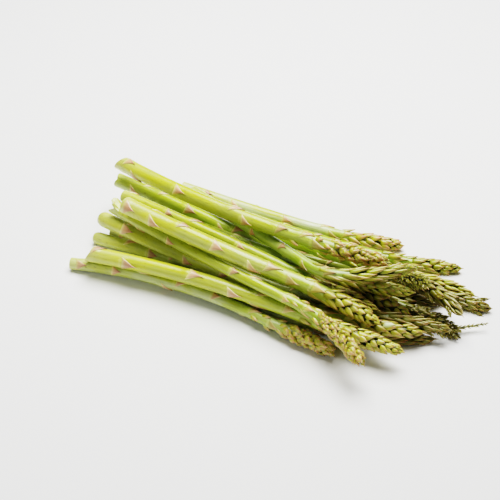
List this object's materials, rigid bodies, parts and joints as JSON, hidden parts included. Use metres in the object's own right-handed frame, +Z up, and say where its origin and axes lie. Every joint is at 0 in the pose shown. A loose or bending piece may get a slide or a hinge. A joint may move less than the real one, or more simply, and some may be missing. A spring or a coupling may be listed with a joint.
{
  "type": "bundle of asparagus",
  "caption": "Loose bundle of fresh green asparagus spears lying on their sides, cut ends one way and scaly tips the other, untied.",
  "frame": {"origin": "centre of the bundle's box, on the surface that it lies on", "axes": "+X from the cut ends to the tips, +Z up from the surface"},
  "size_m": [0.2946, 0.1446, 0.053],
  "materials": {
    "yellow_green_spear": "waxy satin skin of a fresh spear, yellow green and paler at the cut end",
    "green_spear": "waxy satin skin of a fresh spear, clear green",
    "olive_spear": "waxy satin skin of a fresh spear, olive green with a brownish tip"
  },
  "bodies": {
    "root": {"spear_front_curved": "yellow_green_spear", "spear_front_long_scaled": "olive_spear", "spear_front_round_cut": "yellow_green_spear", "spear_front_frill": "olive_spear", "spear_under_damaged": "yellow_green_spear", "spear_mid_low": "olive_spear", "spear_mid_drooping": "olive_spear", "spear_right_forked": "olive_spear", "spear_right_long": "green_spear", "spear_back_reaching": "green_spear", "spear_back_thick": "yellow_green_spear", "spear_front_slanted": "yellow_green_spear", "spear_front_stout": "yellow_green_spear", "spear_right_hooked": "olive_spear", "spear_right_open_head": "green_spear", "spear_left_long": "yellow_green_spear", "spear_mid_blunt": "green_spear", "spear_mid_slender": "yellow_green_spear", "spear_torn_end": "yellow_green_spear", "spear_raised_tip": "green_spear", "spear_top_stout": "yellow_green_spear", "spear_top_back": "yellow_green_spear"}
  },
  "joints": []
}
